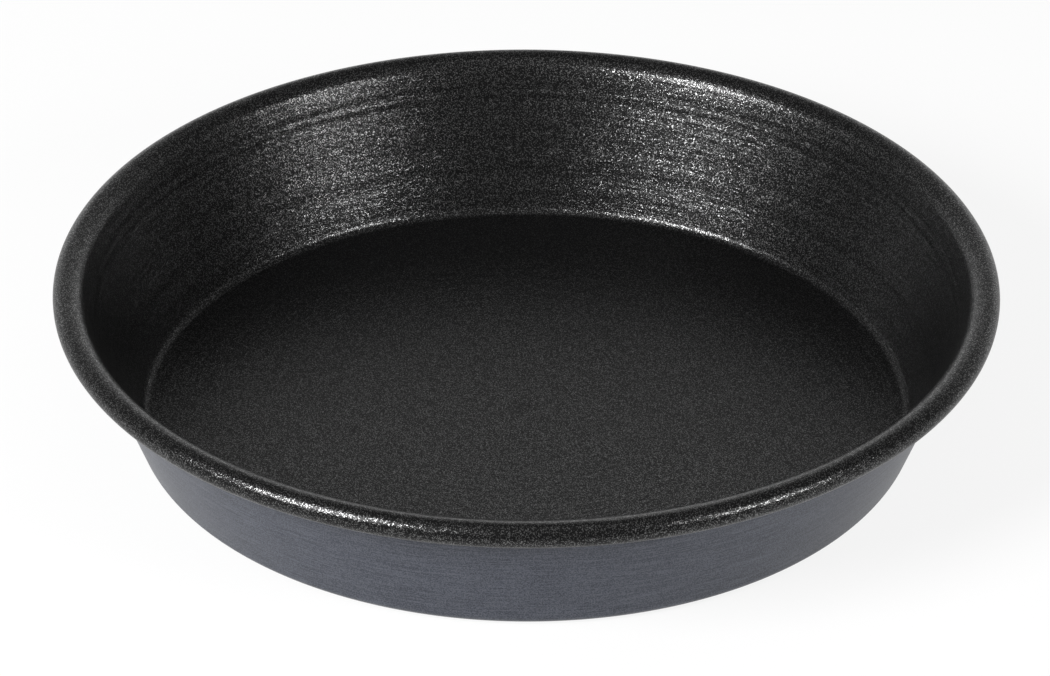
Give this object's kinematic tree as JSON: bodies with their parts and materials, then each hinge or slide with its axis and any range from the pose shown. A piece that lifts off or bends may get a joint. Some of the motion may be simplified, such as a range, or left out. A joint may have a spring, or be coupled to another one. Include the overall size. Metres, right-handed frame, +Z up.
{
  "type": "pie pan",
  "caption": "Deep round pie pan with a flared wall and a rolled wired rim, black flecked non-stick inside and matt slate outside.",
  "frame": {"origin": "centre of the underside of the base, on the table", "axes": "+Z up the pan's axis, out of its mouth; the pan is round, so X and Y are free"},
  "size_m": [0.244, 0.244, 0.0415],
  "materials": {
    "bare_metal": "satin",
    "wire_steel": "satin",
    "black_nonstick": "satin",
    "slate_coat": "matte"
  },
  "bodies": {
    "root": {"pan_shell": "bare_metal", "rim_wire": "wire_steel", "nonstick_lining": "black_nonstick", "outer_coat": "slate_coat"}
  },
  "joints": []
}
